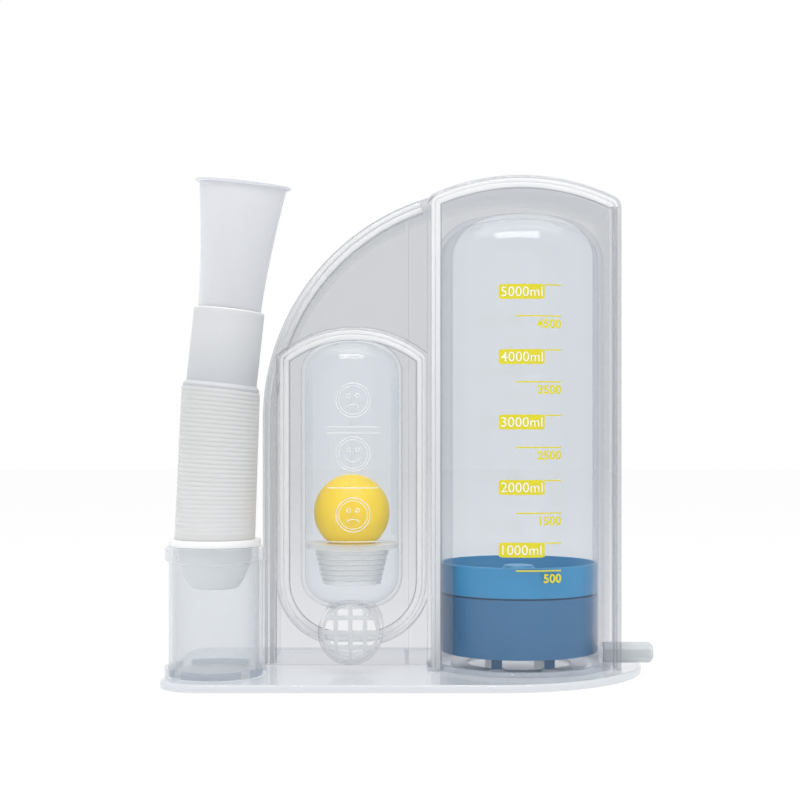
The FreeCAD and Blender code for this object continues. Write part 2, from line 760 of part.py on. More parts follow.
def port_section(sketch, grow):
    """Octagon over the port's flats, in the YZ plane."""
    half = f"(0.5 * port_flats + {grow})"
    cut = f"(tan(22.5) * {half})"
    corners = []
    for y, z in (
        (half, f"-{cut}"),
        (half, cut),
        (cut, half),
        (f"-{cut}", half),
        (f"-{half}", cut),
        (f"-{half}", f"-{cut}"),
        (f"-{cut}", f"-{half}"),
        (cut, f"-{half}"),
    ):
        corners.append((f"port_y + {y}", f"port_z + {z}"))
    polygon(sketch, corners)


# Volume cylinder: clear tube with a domed closed top, open at the base, notched for the port

def flip(arc, held):
    """The same arc drawn the other way round."""
    centre_x, centre_y, turn, radius, _ = arc
    other = "right" if turn == "left" else "left"
    return centre_x, centre_y, other, radius, held


def make_cylinder():
    body = new_body("main_cylinder", ("cyl_x", "cyl_y", "0"))
    sketch = sketch_in(body, "cylinder_section", "XZ_Plane")
    inner_r = "cyl_r - cyl_wall"
    outer, outer_shoulder, outer_crown = dome_corners(
        "0", "cyl_r", "cyl_side_top", "cyl_shoulder_r", "cyl_top"
    )
    inner, inner_shoulder, inner_crown = dome_corners(
        "0", inner_r, "cyl_side_top", "cyl_shoulder_r - cyl_wall", "cyl_top - cyl_wall"
    )
    loop = [(inner_r, "base_thick", "xy"), ("cyl_r", "base_thick", "xy")]
    loop += outer + inner[::-1]
    arcs = {
        2: outer_shoulder,
        3: outer_crown,
        5: flip(inner_crown, "x"),
        6: flip(inner_shoulder, "xy tangent"),
    }
    draw_loop(sketch, loop, arcs)
    revolve(body, sketch)
    notch = sketch_in(body, "cylinder_notch", "YZ_Plane")
    notch_top = "port_z + port_bore_r + port_ease"
    notch_low = "base_thick - wall"
    notch_middle = f"0.5 * ({notch_low} + {notch_top})"
    notch_wide = "2 * (port_bore_r + port_ease)"
    block(notch, "port_y - cyl_y", notch_middle, notch_wide, f"{notch_top} - ({notch_low})")
    pocket(body, notch, "cyl_r + cyl_wall", backwards=True)


# Foot ring that seats the cylinder on the base, open beside the rear shell

def make_foot_ring():
    body = new_body("cylinder_foot_ring", ("cyl_x", "cyl_y", "base_thick"))
    sketch = sketch_in(body, "foot_section", "XZ_Plane")
    inner = "cyl_r + fit_gap"
    outer = "cyl_r + fit_gap + foot_ring_width"
    polygon(
        sketch,
        (
            (inner, "0"),
            (outer, "0"),
            (outer, "0.5 * foot_ring_tall"),
            (f"{outer} - 0.5 * foot_ring_width", "foot_ring_tall"),
            (inner, "foot_ring_tall"),
        ),
    )
    revolve(body, sketch)
    opening = sketch_in(body, "foot_opening", "XY_Plane")
    near_y, far_y = "seam_y - fit_gap - cyl_y", "foot_gap_y"
    near_x, far_x = "foot_gap_x", "foot_gap_x + 2 * foot_ring_width"
    polygon(opening, ((near_x, near_y), (far_x, near_y), (far_x, far_y), (near_x, far_y)))
    pocket(body, opening, "foot_ring_tall", backwards=True)


# Stop pads on the base, which carry the piston lugs at rest

def make_stop_pads():
    body = new_body("piston_stop_ring", ("cyl_x", "cyl_y", "base_thick"))
    ring = sketch_in(body, "stop_ring", "XY_Plane")
    draw_circle(ring, "0", "0", "stop_ring_out")
    draw_circle(ring, "0", "0", "stop_ring_in")
    pad(body, ring, "stop_ring_tall")
    for number, (side, way) in enumerate(CORNER_SIGNS):
        stop = sketch_in(body, f"stop_pad_{number}", "XY_Plane", "0.5 * stop_ring_tall")
        block(stop, f"{side} * lug_x", f"{way} * lug_y", "1.5 * lug_wide", "lug_long")
        pad(body, stop, "stop_tall - 0.5 * stop_ring_tall")


# Flow tube: domed clear tube with guide ribs for the ball and an inlet hole below

def make_flow_tube():
    body = new_body("flow_tube", ("flow_x", "flow_y", "0"))
    sketch = sketch_in(body, "tube_section", "XZ_Plane")
    inner_r = "tube_r - tube_wall"
    outer, outer_shoulder, outer_crown = dome_corners(
        "0", "tube_r", "tube_side_top", "tube_shoulder_r", "tube_top"
    )
    inner, inner_shoulder, inner_crown = dome_corners(
        "0",
        inner_r,
        "tube_side_top",
        "tube_shoulder_r - tube_wall",
        "tube_top - tube_wall",
    )
    bend = "tube_bottom_r"
    bend_z = "tube_bottom + tube_bottom_r"
    floor = "tube_bottom + tube_wall"
    bend_x = f"tube_r - {bend}"
    loop = [
        ("tube_inlet_r", "tube_bottom", "xy"),
        (bend_x, "tube_bottom", "xy"),
        ("tube_r", bend_z, "y"),
    ]
    loop += outer + inner[::-1]
    loop += [(inner_r, bend_z, "y"), (bend_x, floor, "xy"), ("tube_inlet_r", floor, "xy")]
    arcs = {
        1: (bend_x, bend_z, "left", None, "xy"),
        3: outer_shoulder,
        4: outer_crown,
        6: flip(inner_crown, "x"),
        7: flip(inner_shoulder, "xy tangent"),
        9: (bend_x, bend_z, "right", None, "xy"),
    }
    draw_loop(sketch, loop, arcs)
    revolve(body, sketch)
    rib = sketch_in(body, "guide_rib", "XY_Plane", "rib_low")
    inner_edge = "ball_r + rib_gap"
    wide = f"tube_r - 0.5 * tube_wall - ({inner_edge})"
    block(rib, f"0.5 * ({inner_edge} + tube_r - 0.5 * tube_wall)", "0", wide, "rib_thick")
    first = pad(body, rib, "rib_high - rib_low")
    around(body, first, "rib_count")


# Ball seat: plate with a hole under the ball and a stepped funnel below it

def make_ball_seat():
    body = new_body("ball_seat", ("flow_x", "flow_y", "0"))
    sketch = sketch_in(body, "seat_section", "XZ_Plane")
    steps = int(size("seat_steps"))
    hole = math.sqrt((size("ball_r") + size("rest_gap")) ** 2 - size("ball_z - seat_top") ** 2)
    low = "seat_top - seat_plate"
    inner = "seat_r_top - seat_wall"
    corners = [
        (hole, "seat_top"),
        ("tube_r - tube_wall - fit_gap", "seat_top"),
        ("tube_r - tube_wall - fit_gap", low),
        ("seat_r_top", low),
    ]
    for step in range(steps):
        edge = f"seat_r_top - {step} * seat_taper"
        next_edge = f"seat_r_top - {step + 1} * seat_taper"
        step_low = f"{low} - {step + 1} * seat_step"
        corners.append((edge, step_low))
        if step < steps - 1:
            corners.append((next_edge, step_low))
    bottom = f"{low} - {steps} * seat_step"
    corners.append((f"{inner} - {steps - 1} * seat_taper", bottom))
    corners.append((inner, low))
    corners.append((hole, low))
    polygon(sketch, corners)
    revolve(body, sketch)


# Inlet collar: short tube through the lower front, open into the flow tube

def make_inlet_collar():
    body = new_body("inlet_collar")
    ring = sketch_in(body, "collar_ring", "XZ_Plane", "-seam_y")
    draw_circle(ring, "flow_x", "inlet_z", "inlet_r")
    draw_circle(ring, "flow_x", "inlet_z", "inlet_r - inlet_wall")
    pad(body, ring, "seam_y - inlet_front")
    tube = sketch_in(body, "collar_tube_gap", "XZ_Plane", "-flow_y")
    draw_tube_space(tube)
    groove(body, tube)


# Grille: round plate with square openings and a plain rim

def make_grille():
    body = new_body("inlet_grille", ("flow_x", "inlet_front + grille_inset", "inlet_z"))
    outer = "inlet_r - inlet_wall - fit_gap"
    plate = sketch_in(body, "grille_plate", "XZ_Plane", "-grille_thick")
    draw_circle(plate, "0", "0", outer)
    pad(body, plate, "grille_thick")
    half_count = int(size("grille_half"))
    for column in range(-half_count, half_count):
        for row in range(-half_count, half_count):
            x = f"({column} + 0.5) * grille_pitch"
            z = f"({row} + 0.5) * grille_pitch"
            hole = sketch_in(body, f"grille_hole_{column}_{row}", "XZ_Plane", "-grille_thick")
            block(hole, x, z, "grille_hole", "grille_hole")
            pocket(body, hole, "grille_thick", backwards=True)
    rim = sketch_in(body, "grille_rim", "XZ_Plane", "-grille_thick")
    draw_circle(rim, "0", "0", outer)
    draw_circle(rim, "0", "0", f"{outer} - grille_rim")
    pad(body, rim, "grille_thick")


# Hose cup: round cup with a banded rim, standing in the socket ring

def make_hose_cup():
    body = new_body("hose_cup", ("cup_x", "cup_y", "base_thick"))
    sketch = sketch_in(body, "cup_section", "XZ_Plane")
    top = "cup_top - base_thick"
    rim_low = "cup_rim_low - base_thick"
    polygon(
        sketch,
        (
            ("0", "0"),
            ("cup_r", "0"),
            ("cup_r", rim_low),
            ("cup_rim_r", f"{rim_low} + cup_bevel"),
            ("cup_rim_r", f"{top} - cup_bevel"),
            ("cup_rim_r - cup_bevel", top),
            ("cup_r - cup_wall", top),
            ("cup_r - cup_wall", "cup_wall"),
            ("0", "cup_wall"),
        ),
    )
    revolve(body, sketch)


# Air port: octagonal stub with a round bore, through the side of the front shell

def make_port():
    body = new_body("air_port")
    sketch = sketch_in(body, "port_outside", "YZ_Plane", "port_x")
    port_section(sketch, "0")
    pad(body, sketch, "port_end - port_x")
    end = size("port_end")
    chamfer = body.newObject("PartDesign::Chamfer", "port_end_chamfer")
    tip = body.Tip if body.Tip != chamfer else chamfer.BaseFeature
    names = [
        f"Edge{number}"
        for number, edge in enumerate(tip.Shape.Edges, start=1)
        if near(edge.BoundBox.XMin, end)
    ]
    chamfer.Base = (tip, names)
    chamfer.setExpression("Size", bound("port_chamfer"))
    body.Tip = chamfer
    DOC.recompute()
    bore = sketch_in(body, "port_bore", "YZ_Plane", "port_x")
    draw_circle(bore, "port_y", "port_z", "port_bore_r")
    pocket(body, bore, "port_end - port_x", backwards=True)
    back = sketch_in(body, "port_back", "XY_Plane", "port_z - port_flats")
    draw_circle(back, "cyl_x", "cyl_y", "cyl_r + fit_gap")
    pocket(body, back, "2 * port_flats", backwards=True)


# Piston: skirted body with lugs, seal ring and dished cap

def make_piston():
    body = new_body("piston_body", ("cyl_x", "cyl_y", "0"))
    sketch = sketch_in(body, "piston_body_section", "XZ_Plane")
    outer = "cyl_r - cyl_wall - piston_gap"
    polygon(
        sketch,
        (
            ("0", "piston_joint"),
            (outer, "piston_joint"),
            (outer, "piston_low"),
            (f"{outer} - piston_wall", "piston_low"),
            (f"{outer} - piston_wall", "piston_joint - piston_wall"),
            ("0", "piston_joint - piston_wall"),
        ),
    )
    revolve(body, sketch)
    lug_low = "base_thick + stop_tall + rest_gap"
    for number, (side, way) in enumerate(CORNER_SIGNS):
        lug = sketch_in(body, f"piston_lug_{number}", "XY_Plane", lug_low)
        block(lug, f"{side} * lug_x", f"{way} * lug_y", "lug_wide", "lug_long")
        pad(body, lug, f"piston_joint - 0.5 * piston_wall - ({lug_low})")

    seal = new_body("piston_seal", ("cyl_x", "cyl_y", "piston_joint"))
    ring = sketch_in(seal, "seal_ring", "XY_Plane")
    draw_circle(ring, "0", "0", f"{outer} - seal_back")
    draw_circle(ring, "0", "0", f"{outer} - seal_back - 2 * piston_wall")
    pad(seal, ring, "seal_tall")

    cap = new_body("piston_cap", ("cyl_x", "cyl_y", "0"))
    section = sketch_in(cap, "piston_cap_section", "XZ_Plane")
    low = "piston_joint + seal_tall"
    polygon(
        section,
        (
            ("0", low),
            (outer, low),
            (outer, "piston_top - piston_edge"),
            (f"{outer} - piston_edge", "piston_top"),
            (f"{outer} - piston_edge - 0.5 * piston_wall", "piston_top"),
            (f"{outer} - 2 * piston_wall", "dish_floor"),
            ("hub_r + piston_wall", "dish_floor"),
            ("hub_r", "0.5 * dish_floor + 0.5 * hub_top"),
            ("0.7 * hub_r", "hub_top - piston_edge"),
            ("0", "hub_top"),
        ),
    )
    revolve(cap, section)


def make_ball():
    ball = DOC.addObject("Part::Sphere", "float_ball")
    ball.Label = "float_ball"
    ball.setExpression("Radius", bound("ball_r"))
    place_by_sheet(ball, ("flow_x", "flow_y", "ball_z"))
    NODES["float_ball"] = ball


# Tail cuff: flange on the cup's rim and a tapered spigot inside the cup

def make_tail_cuff():
    body = new_body("hose_tail_cuff", ("hose_x", "cup_y", "0"))
    sketch = sketch_in(body, "tail_section", "XZ_Plane")
    flange_low = "cup_top + rest_gap"
    nose_r = "(0.5 * tail_end_r + 0.5 * tail_spigot_r)"
    nose_top = "tail_end + tail_nose"
    neck_r = "(tail_spigot_r - tail_bevel)"
    neck_z = f"0.4 * tail_end + 0.6 * ({flange_low})"
    polygon(
        sketch,
        (
            ("tail_end_r - tail_wall", "tail_end"),
            ("tail_end_r - tail_bevel", "tail_end"),
            ("tail_end_r + tail_bevel", "tail_end + tail_bevel"),
            (nose_r, nose_top),
            (neck_r, neck_z),
            ("tail_spigot_r", flange_low),
            ("tail_flange_r", flange_low),
            ("tail_flange_r", "hose_low"),
            ("tail_spigot_r - tail_wall", "hose_low"),
            (f"{neck_r} - tail_wall", neck_z),
            (f"{nose_r} - tail_wall", nose_top),
        ),
    )
    revolve(body, sketch)


# Bellows: hose folded flat, cut level at its foot and to the mouthpiece's lean above

def make_bellows():
    body = new_body("corrugated_hose", ("hose_x", "cup_y", "hose_low"), "bellows_lean")
    sketch = sketch_in(body, "bellows_section", "XZ_Plane")
    folds = int(size("hose_folds"))
    long = "((hose_high - hose_low) / cos(bellows_lean))"
    low = "(-hose_r_low * tan(bellows_lean))"
    bend = "tan(hose_lean - bellows_lean)"
    rise = f"({long} + hose_r_high * {bend} - {low})"
    shrink = "(hose_r_low - hose_r_high)"
    bore = "hose_r_high - hose_fold - hose_wall"
    corners = [(bore, low)]
    for fold in range(folds):
        for share, depth in ((fold, "hose_fold"), (fold + 0.5, "0")):
            radius = f"hose_r_low - {shrink} * {share} / {folds} - {depth}"
            corners.append((radius, f"{low} + {rise} * {share} / {folds}"))
    corners.append(("hose_r_high - hose_fold", f"{low} + {rise}"))
    corners.append((bore, f"{low} + {rise}"))
    polygon(sketch, corners)
    revolve(body, sketch)
    reach = "2 * hose_r_low"
    foot_slope = f"{reach} * tan(bellows_lean)"
    foot = sketch_in(body, "bellows_foot", "XZ_Plane", f"-{reach}")
    foot_corners = (
        (f"-{reach}", f"-{foot_slope}"),
        (f"-{reach}", f"-{reach}"),
        (reach, f"-{reach}"),
        (reach, foot_slope),
    )
    polygon(foot, foot_corners)
    pocket(body, foot, f"2 * {reach}", backwards=True)
    top_slope = f"{reach} * {bend}"
    trim = sketch_in(body, "bellows_top", "XZ_Plane", f"-{reach}")
    top_corners = (
        (f"-{reach}", f"{long} + {top_slope}"),
        (reach, f"{long} - {top_slope}"),
        (reach, f"{long} + {reach}"),
        (f"-{reach}", f"{long} + {reach}"),
    )
    polygon(trim, top_corners)
    pocket(body, trim, f"2 * {reach}", backwards=True)


# Upper cuff: smooth sleeve with a shoulder, leaning with the mouthpiece

def make_top_cuff():
    body = new_body("hose_top_cuff", ("hose_top_x", "cup_y", "hose_high"), "hose_lean")
    sketch = sketch_in(body, "cuff_section", "XZ_Plane")
    socket = "mouth_r + 0.5 * fit_gap"
    socket_low = "cuff_long - mouth_insert - fit_gap"
    bore = "cuff_r - cuff_wall - cuff_stop"
    polygon(
        sketch,
        (
            (bore, "0"),
            ("cuff_foot_r", "0"),
            ("cuff_foot_r", "0.5 * cuff_foot"),
            ("cuff_r", "cuff_foot"),
            ("cuff_r", "cuff_long - cuff_bevel"),
            ("cuff_r - cuff_bevel", "cuff_long"),
            (socket, "cuff_long"),
            (socket, socket_low),
            (bore, socket_low),
        ),
    )
    revolve(body, sketch)


# Mouthpiece: round tube that flares to a flat oval with a thin lip

def make_mouthpiece():
    insert = size("mouth_insert")
    long = size("mouth_long")
    round_r = size("mouth_r")
    wide, deep = size("mouth_wide"), size("mouth_deep")
    wall = size("mouth_wall")
    lip, lip_thick = size("lip_proud"), size("lip_thick")
    slimmer = size("mouth_step")
    overlap = size("mouth_overlap")
    oval_by = size("mouth_oval")

    def section(height, half_wide, half_deep):
        """An oval wire; the same kind of curve at each height, so the loft is smooth."""
        oval = Part.Ellipse(V(0, 0, height), half_wide, half_deep)
        return Part.Wire(oval.toShape())

    def flare(inset, past_end):
        """The flaring tube, set in by inset; it widens ever faster towards the mouth."""
        wires = []
        for share in (0, 0.15, 0.3, 0.45, 0.6, 0.75, 0.88, 1 + past_end / long):
            ease = share * math.sqrt(share)
            half_wide = round_r + (wide - round_r) * ease - inset + oval_by
            half_deep = round_r + (deep - round_r) * ease - inset
            wires.append(section(long * share, half_wide, half_deep))
        return Part.makeLoft(wires, True, True)

    spigot = Part.makeCylinder(round_r - slimmer, insert + overlap, V(0, 0, -insert))
    outside = flare(0, 0).fuse(spigot)
    lip_wires = [
        section(long - lip_thick, wide + 0.5 * lip, deep + 0.5 * lip),
        section(long - 0.5 * lip_thick, wide + lip, deep + lip),
        section(long, wide + 0.5 * lip, deep + 0.5 * lip),
    ]
    outside = outside.fuse(Part.makeLoft(lip_wires, True, False))
    bore_foot = V(0, 0, -insert - overlap)
    bore = Part.makeCylinder(round_r - wall - slimmer, insert + 2 * overlap, bore_foot)
    inside = flare(wall, overlap).fuse(bore)
    item = DOC.addObject("Part::Feature", "mouthpiece")
    item.Label = "mouthpiece"
    item.Shape = outside.cut(inside)
    lean = FreeCAD.Rotation(V(0, 1, 0), size("hose_lean"))
    foot = V(size("hose_top_x"), size("cup_y"), size("hose_high"))
    item.Placement = FreeCAD.Placement(foot + lean.multVec(V(0, 0, size("cuff_long"))), lean)
    NODES["mouthpiece"] = item


BUILDERS = (
    make_base,
    make_rear_shell,
    make_front_shell,
    make_cylinder,
    make_foot_ring,
    make_stop_pads,
    make_flow_tube,
    make_ball_seat,
    make_inlet_collar,
    make_grille,
    make_hose_cup,
    make_port,
    make_piston,
    make_ball,
    make_tail_cuff,
    make_bellows,
    make_top_cuff,
    make_mouthpiece,
)
for build in BUILDERS:
    build()
DOC.recompute()

# Nothing is written unless every object and every shape is sound
for item in DOC.Objects:
    if "Invalid" in item.State or "Error" in item.State:
        raise RuntimeError(f"{item.Name} did not recompute")
for node, item in NODES.items():
    if item.Shape.isNull() or not item.Shape.isValid():
        raise RuntimeError(f"{node} has no sound shape")

os.makedirs("parts", exist_ok=True)
for node, item in NODES.items():
    item.Shape.exportStep(f"parts/{node}.step")
    print(node, round(item.Shape.Volume), "mm3,", len(item.Shape.Solids), "solids")
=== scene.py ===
import math

import bpy
from mathutils import Matrix, Vector


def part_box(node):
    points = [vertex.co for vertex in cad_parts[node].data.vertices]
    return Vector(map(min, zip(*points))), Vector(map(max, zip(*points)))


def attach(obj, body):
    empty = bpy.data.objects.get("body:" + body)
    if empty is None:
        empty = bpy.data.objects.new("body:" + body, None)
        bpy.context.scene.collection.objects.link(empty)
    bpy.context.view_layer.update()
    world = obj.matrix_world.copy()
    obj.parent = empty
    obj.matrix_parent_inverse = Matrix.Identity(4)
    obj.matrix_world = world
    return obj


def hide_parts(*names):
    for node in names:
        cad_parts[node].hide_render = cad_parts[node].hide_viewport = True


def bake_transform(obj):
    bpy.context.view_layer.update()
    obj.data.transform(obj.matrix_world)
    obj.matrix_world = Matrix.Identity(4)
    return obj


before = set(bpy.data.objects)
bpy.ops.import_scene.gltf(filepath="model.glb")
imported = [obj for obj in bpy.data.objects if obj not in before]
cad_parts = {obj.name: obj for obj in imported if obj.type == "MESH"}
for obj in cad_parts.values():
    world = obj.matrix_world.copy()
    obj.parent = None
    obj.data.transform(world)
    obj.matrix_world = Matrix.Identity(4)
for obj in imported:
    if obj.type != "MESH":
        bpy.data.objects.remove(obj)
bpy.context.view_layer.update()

scene = bpy.context.scene
scene.view_settings.view_transform = "Standard"
scene.cycles.transparent_max_bounces = 64

# Camera at the photograph's place: level, a little above the middle of the object, 750 mm in
# front of the cylinder's axis. The photograph is cropped a little low, which the shift repeats.
camera = bpy.data.objects.new("camera", bpy.data.cameras.new("camera"))
camera.location = (-0.002, -0.750, 0.1193)
camera.rotation_euler = (math.radians(90), 0, 0)
camera.data.lens = 67.5
camera.data.sensor_width = 36
camera.data.shift_y = 0.04
scene.collection.objects.link(camera)
scene.camera = camera

PIXELS_PER_UNIT_DEPTH = 1500
PHOTO_MIDDLE = 400
PHOTO_HORIZON = 432


def photo_x(pixel, y):
    """The frame's X for a column of the photograph, on the plane at depth y."""
    return camera.location.x + (pixel - PHOTO_MIDDLE) * (y - camera.location.y) / PIXELS_PER_UNIT_DEPTH


def photo_z(pixel, y):
    """The frame's Z for a row of the photograph, on the plane at depth y."""
    return camera.location.z - (pixel - PHOTO_HORIZON) * (y - camera.location.y) / PIXELS_PER_UNIT_DEPTH


# Studio: a white paper sweep under a wide overhead softbox and a strip lamp in front of it, with a
# tall softbox on each side. The sweep shows white with a faint shadow, and gloss shows the two above.
def linear(code):
    """An sRGB hex colour as linear red, green, blue and alpha."""
    channels = [int(code[i : i + 2], 16) / 255 for i in (1, 3, 5)]
    return tuple(c / 12.92 if c <= 0.04045 else ((c + 0.055) / 1.055) ** 2.4 for c in channels) + (1,)


def add(tree, kind, settings=None, **sockets):
    """A new node. settings are its own properties, sockets its inputs: values or outputs to link.

    An input is named with _ for a space, or by its number after the word input.
    """
    made = tree.nodes.new(f"ShaderNode{kind}")
    for name, value in (settings or {}).items():
        setattr(made, name, value)
    for name, value in sockets.items():
        key = int(name[5:]) if name.startswith("input") else name.replace("_", " ")
        if isinstance(value, bpy.types.NodeSocket):
            tree.links.new(value, made.inputs[key])
        else:
            made.inputs[key].default_value = value
    return made


def new_material(name):
    """An empty material and its node tree."""
    made = bpy.data.materials.new(name)
    made.use_nodes = True
    made.node_tree.nodes.clear()
    return made, made.node_tree


def show(tree, shader):
    """What the material's surface shows."""
    add(tree, "OutputMaterial", Surface=shader)


def seen_straight(tree):
    """1 for what the camera sees directly, in a reflection or through clear plastic."""
    path = add(tree, "LightPath")
    first = add(tree, "Math", {"operation": "MAXIMUM"},
                input0=path.outputs["Is Camera Ray"], input1=path.outputs["Is Glossy Ray"])
    both = add(tree, "Math", {"operation": "MAXIMUM"},
               input0=first.outputs[0], input1=path.outputs["Is Transmission Ray"])
    return both.outputs[0]


ROOM_LIGHT = 0.70
PAPER_KEEP = 0.95
world = bpy.data.worlds.new("studio")
scene.world = world
world.use_nodes = True
world.node_tree.nodes.clear()
room = add(world.node_tree, "Background", Color=(1, 1, 1, 1), Strength=ROOM_LIGHT)
paper_white = add(world.node_tree, "Background", Color=(1, 1, 1, 1), Strength=1.0)
backdrop = add(world.node_tree, "MixShader", Fac=seen_straight(world.node_tree),
               input1=room.outputs[0], input2=paper_white.outputs[0])
add(world.node_tree, "OutputWorld", Surface=backdrop.outputs[0])

paper, tree = new_material("white_paper_sweep")
matt = add(tree, "BsdfDiffuse", Color=linear("#f2f4f6"))
lit = add(tree, "Emission", Color=(1, 1, 1, 1), Strength=1.0)
keep = add(tree, "Math", {"operation": "MULTIPLY"}, input0=seen_straight(tree), input1=PAPER_KEEP)
sweep = add(tree, "MixShader", Fac=keep.outputs[0], input1=matt.outputs[0], input2=lit.outputs[0])
show(tree, sweep.outputs[0])

FLOOR_HALF = 4.0
floor_mesh = bpy.data.meshes.new("floor")
floor_mesh.from_pydata(
    [(x, y, 0) for x, y in ((-1, -1), (1, -1), (1, 1), (-1, 1))], [], [(0, 1, 2, 3)])
floor_mesh.transform(Matrix.Scale(FLOOR_HALF, 4))
floor_mesh.materials.append(paper)
floor = bpy.data.objects.new("floor", floor_mesh)
scene.collection.objects.link(floor)


def softbox(name, place, aim, wide, tall, power, mirrored=True):
    """A rectangular lamp at place, turned to aim. mirrored is whether gloss shows it."""
    lamp = bpy.data.lights.new(name, "AREA")
    lamp.shape = "RECTANGLE"
    lamp.size, lamp.size_y = wide, tall
    lamp.energy = power
    made = bpy.data.objects.new(name, lamp)
    made.location = place
    made.rotation_euler = (Vector(aim) - Vector(place)).to_track_quat("-Z", "Y").to_euler()
    made.visible_glossy = mirrored
    scene.collection.objects.link(made)


softbox("front_strip", (0, -0.46, 1.20), (0, 0, 0.1), wide=0.95, tall=0.20, power=8.0)
softbox("overhead_softbox", (0, 0.10, 1.25), (0, 0, 0.1), wide=1.6, tall=0.50, power=6.0)
softbox("left_softbox", (-1.1, -0.75, 0.55), (0, 0, 0.12), wide=0.25, tall=1.0, power=2.6, mirrored=False)
softbox("right_softbox", (1.1, -0.75, 0.55), (0, 0, 0.12), wide=0.25, tall=1.0, power=1.9, mirrored=False)


# Clear housing: crystal polystyrene, injection moulded in two shells and glued at a flange. Each
# wall takes a little grey out of the white behind it; rounded edges read darker, gloss is white.
PALE_FROM, PALE_TO = 0.012, 0.105
GLOSS_SHARE = 0.018


def clear_polystyrene(name, tint, haze_colour, haze, edge, edge_power=3.0, roughness=0.08, mirror=0.55,
                      painted_base_reflection_tint=None):
    """See-through plastic. tint is what one face lets through, haze how much it veils seen straight.

    edge is the veil added where a face turns away, and edge_power how late that begins. mirror is the
    gloss added at a grazing angle. The last argument is a painted reflection of the white base: a wall
    with it is painted paler towards its foot, in tint above PALE_TO and in that paler tint below PALE_FROM.
    """
    made, tree = new_material(name)
    facing = add(tree, "LayerWeight", Blend=0.5).outputs["Facing"]
    ripple = add(tree, "TexNoise", Scale=38.0, Detail=1.5)
    swell = add(tree, "Bump", Strength=0.16, Distance=0.0005, Height=ripple.outputs["Fac"])
    turned = add(tree, "Math", {"operation": "POWER"}, input0=facing, input1=edge_power)
    rim = add(tree, "Math", {"operation": "MULTIPLY_ADD"},
              input0=turned.outputs[0], input1=edge, input2=haze)
    clear = add(tree, "BsdfTransparent", Color=linear(tint))
    # Painted reflection of the white base: the wall's tint turns paler towards its foot.
    if painted_base_reflection_tint:
        height = add(tree, "SeparateXYZ", Vector=add(tree, "TexCoord").outputs["Object"]).outputs["Z"]
        share = add(tree, "MapRange", Value=height, From_Min=PALE_FROM, From_Max=PALE_TO)
        wall = add(tree, "ValToRGB", Fac=share.outputs[0])
        wall.color_ramp.elements[0].color = linear(painted_base_reflection_tint)
        wall.color_ramp.elements[1].color = linear(tint)
        tree.links.new(wall.outputs["Color"], clear.inputs["Color"])
    veil = add(tree, "BsdfPrincipled", Base_Color=linear(haze_colour), Roughness=0.35,
               Normal=swell.outputs[0])
    body = add(tree, "MixShader", Fac=rim.outputs[0], input1=clear.outputs[0], input2=veil.outputs[0])
    grazing = add(tree, "Math", {"operation": "POWER"}, input0=facing, input1=5.0)
    mirror_share = add(tree, "Math", {"operation": "MULTIPLY_ADD"},
                       input0=grazing.outputs[0], input1=mirror, input2=GLOSS_SHARE)
    gloss = add(tree, "BsdfGlossy", Color=(1, 1, 1, 1), Roughness=roughness, Normal=swell.outputs[0])
    whole = add(tree, "MixShader", Fac=mirror_share.outputs[0],
                input1=body.outputs[0], input2=gloss.outputs[0])
    show(tree, whole.outputs[0])
    return made


def finish(node, material, sharp=30):
    """A CAD node keeps its shape and gets its material, shaded smooth except at real edges."""
    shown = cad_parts[node]
    shown.data.materials.clear()
    shown.data.materials.append(material)
    shown.data.polygons.foreach_set("material_index", [0] * len(shown.data.polygons))
    if shown.data.has_custom_normals:
        shown.data.attributes.remove(shown.data.attributes["custom_normal"])
    shown.data.shade_smooth()
    shown.data.set_sharp_from_angle(angle=math.radians(sharp))


# Shell and tub are painted paler towards their foot, a painted reflection of the white base plate.
shell_clear = clear_polystyrene(
    "clear_polystyrene_shell", "#f4f4f5", "#c2c5c9", haze=0.03, edge=0.50, painted_base_reflection_tint="#fafafb")
rear_clear = clear_polystyrene(
    "clear_polystyrene_tub", "#f3f4f5", "#c0c3c7", haze=0.04, edge=0.26, painted_base_reflection_tint="#fafafb")
finish("front_shell", shell_clear)
finish("rear_shell", rear_clear)


# Glued seam and rims: where two walls meet the plastic is thick and crowned, and it sends the white
# of the room back. The wing, the roof and both raised fronts get this as painted highlights, bands of
# white plastic, and as painted shade, grey lines beside them.
painted_highlight_white = clear_polystyrene(
    "clear_polystyrene_rim_highlight", "#fcfcfd", "#fafafa", haze=0.52, edge=0.20, edge_power=2.0)
painted_shade_grey = clear_polystyrene(
    "clear_polystyrene_rim_shade", "#f0f1f2", "#b4b8bc", haze=0.40, edge=0.20, edge_power=2.0)

front_low, front_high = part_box("front_shell")
SEAM_Y = -0.004
FLANGE_Y = SEAM_Y - 0.0017
MAIN_FACE_Y = FLANGE_Y - 0.020
FLOW_FACE_Y = FLANGE_Y - 0.014
WING_CENTRE = (0.0449, 0.1253)
ROOF_CENTRE = (0.0565, 0.1389)
ROOF_R = front_high.z - ROOF_CENTRE[1]
ROOF_CORNER_R, LEAST_CORNER_R = 0.006, 0.0008
WING_R = WING_CENTRE[0] - front_low.x
WING_END = 109
FOOT_Z = 0.0045
MAIN_LEFT = 0.0113
FLOW_MIDDLE, FLOW_HALF, FLOW_LOW = -0.0249, 0.0378, 0.0151
FLOW_BEND_R = 0.032
ARCH_R, ARCH_TOP = 0.0575, 0.171


def new_piece(name, verts, faces, material, body, smooth=True):
    """A mesh piece of one material that rides on a body."""
    mesh = bpy.data.meshes.new(name)
    mesh.from_pydata([tuple(v) for v in verts], [], faces)
    mesh.validate()
    mesh.materials.append(material)
    if smooth:
        mesh.shade_smooth()
    made = bpy.data.objects.new(name, mesh)
    scene.collection.objects.link(made)
    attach(made, body)
    return made


